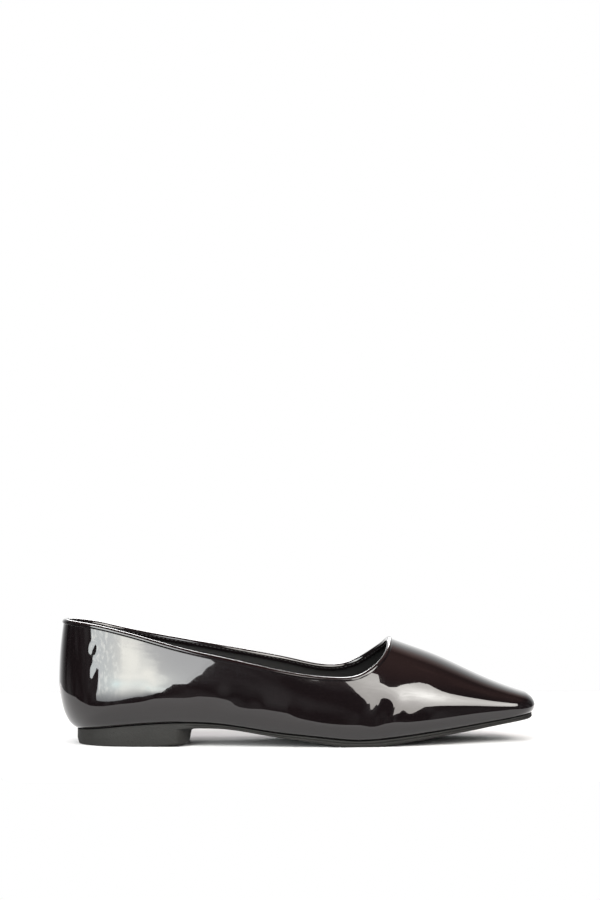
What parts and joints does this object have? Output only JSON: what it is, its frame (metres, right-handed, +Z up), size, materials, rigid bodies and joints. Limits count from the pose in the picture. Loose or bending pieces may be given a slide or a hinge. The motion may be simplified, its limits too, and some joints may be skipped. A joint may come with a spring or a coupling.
{
  "type": "square toe ballet flat",
  "caption": "Low-cut black patent slip-on shoe with a narrow square toe, bound collar, insole and a thin unit sole with a low moulded heel; right shoe.",
  "frame": {"origin": "centre of the bounding box's bottom face, on the floor", "axes": "+X from heel to toe, +Y to the medial side, +Z up"},
  "size_m": [0.26, 0.0846, 0.0674],
  "materials": {
    "black_patent": "high-gloss patent coat, slightly rippled",
    "binding_patent": "high-gloss patent strip, folded and stitched",
    "sock": "matte black sock lining",
    "sole_rubber": "matte moulded black, fine grain"
  },
  "bodies": {
    "root": {"upper": "black_patent", "topline_binding": "binding_patent", "insole": "sock", "outsole": "sole_rubber"}
  },
  "joints": []
}
